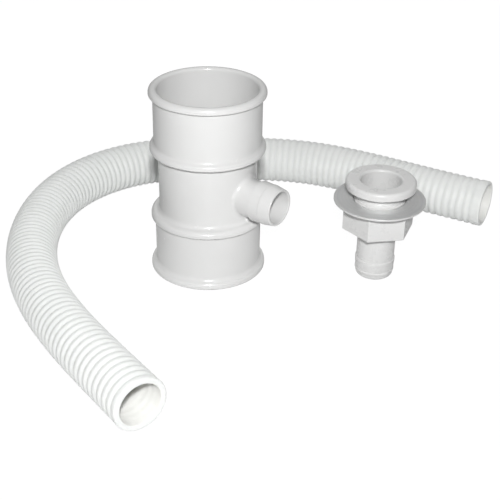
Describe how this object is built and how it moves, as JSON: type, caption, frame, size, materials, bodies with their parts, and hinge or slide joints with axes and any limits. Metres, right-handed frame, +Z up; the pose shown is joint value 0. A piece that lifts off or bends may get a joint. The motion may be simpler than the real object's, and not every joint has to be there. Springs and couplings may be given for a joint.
{
  "type": "thru-hull drain fitting kit",
  "caption": "Marine drain kit: threaded thru-hull fitting with washer and hex nut, curved corrugated drain hose, and an in-line duct tee with a side hose barb.",
  "frame": {"origin": "on the thru-hull fitting's axis, at the underside of its flange, where the flange seats on the hull skin", "axes": "+Z up along the thru-hull's axis towards its flange; +X to the right with the duct tee on the left (-X); +Y away from the viewer, towards the hose's bend behind the tee. The pieces stand on the level z = -0.070 m"},
  "size_m": [0.3701, 0.3624, 0.138],
  "materials": {
    "white_moulding": "glossy moulded white plastic",
    "white_fitting": "satin gloss moulded white plastic",
    "hose_white": "soft matte white corrugated plastic",
    "washer_steel": "turned stainless steel, concentric marks"
  },
  "bodies": {
    "tee": {"duct_tee": "white_moulding"},
    "hose_middle": {"hose_middle_length": "hose_white"},
    "hose_front": {"hose_front_length": "hose_white"},
    "hose_rear": {"hose_rear_length": "hose_white"},
    "thru_hull": {"thru_hull_body": "white_fitting"},
    "washer": {"backing_washer": "washer_steel"},
    "nut": {"hex_nut": "white_fitting"}
  },
  "joints": [
    {"name": "hose_lift", "type": "slide", "parent": "tee", "child": "hose_middle", "axis": [0, 0, 1], "range_m": [0, 0.15]},
    {"name": "hose_front_bend", "type": "hinge", "parent": "hose_middle", "child": "hose_front", "pos_m": [-0.21177, 0.11801, -0.05194], "axis": [0, 0, 1], "range_deg": [-12, 12]},
    {"name": "hose_rear_bend", "type": "hinge", "parent": "hose_middle", "child": "hose_rear", "pos_m": [-0.01181, 0.13226, -0.05194], "axis": [0, 0, 1], "range_deg": [-12, 12]},
    {"name": "thru_hull_lift", "type": "slide", "parent": "tee", "child": "thru_hull", "axis": [0, 0, 1], "range_m": [0, 0.12]},
    {"name": "washer_slide", "type": "slide", "parent": "thru_hull", "child": "washer", "axis": [0, 0, 1], "range_m": [-0.01386, 0.00941]},
    {"name": "nut_turn", "type": "hinge", "parent": "washer", "child": "nut", "pos_m": [0, 0, -0.0227], "axis": [0, 0, 1], "range_deg": [-2160, 1465]}
  ],
  "couplings": [
    {"joint": "washer_slide", "follows": "nut_turn", "m_per_rad": 0.00036749}
  ]
}
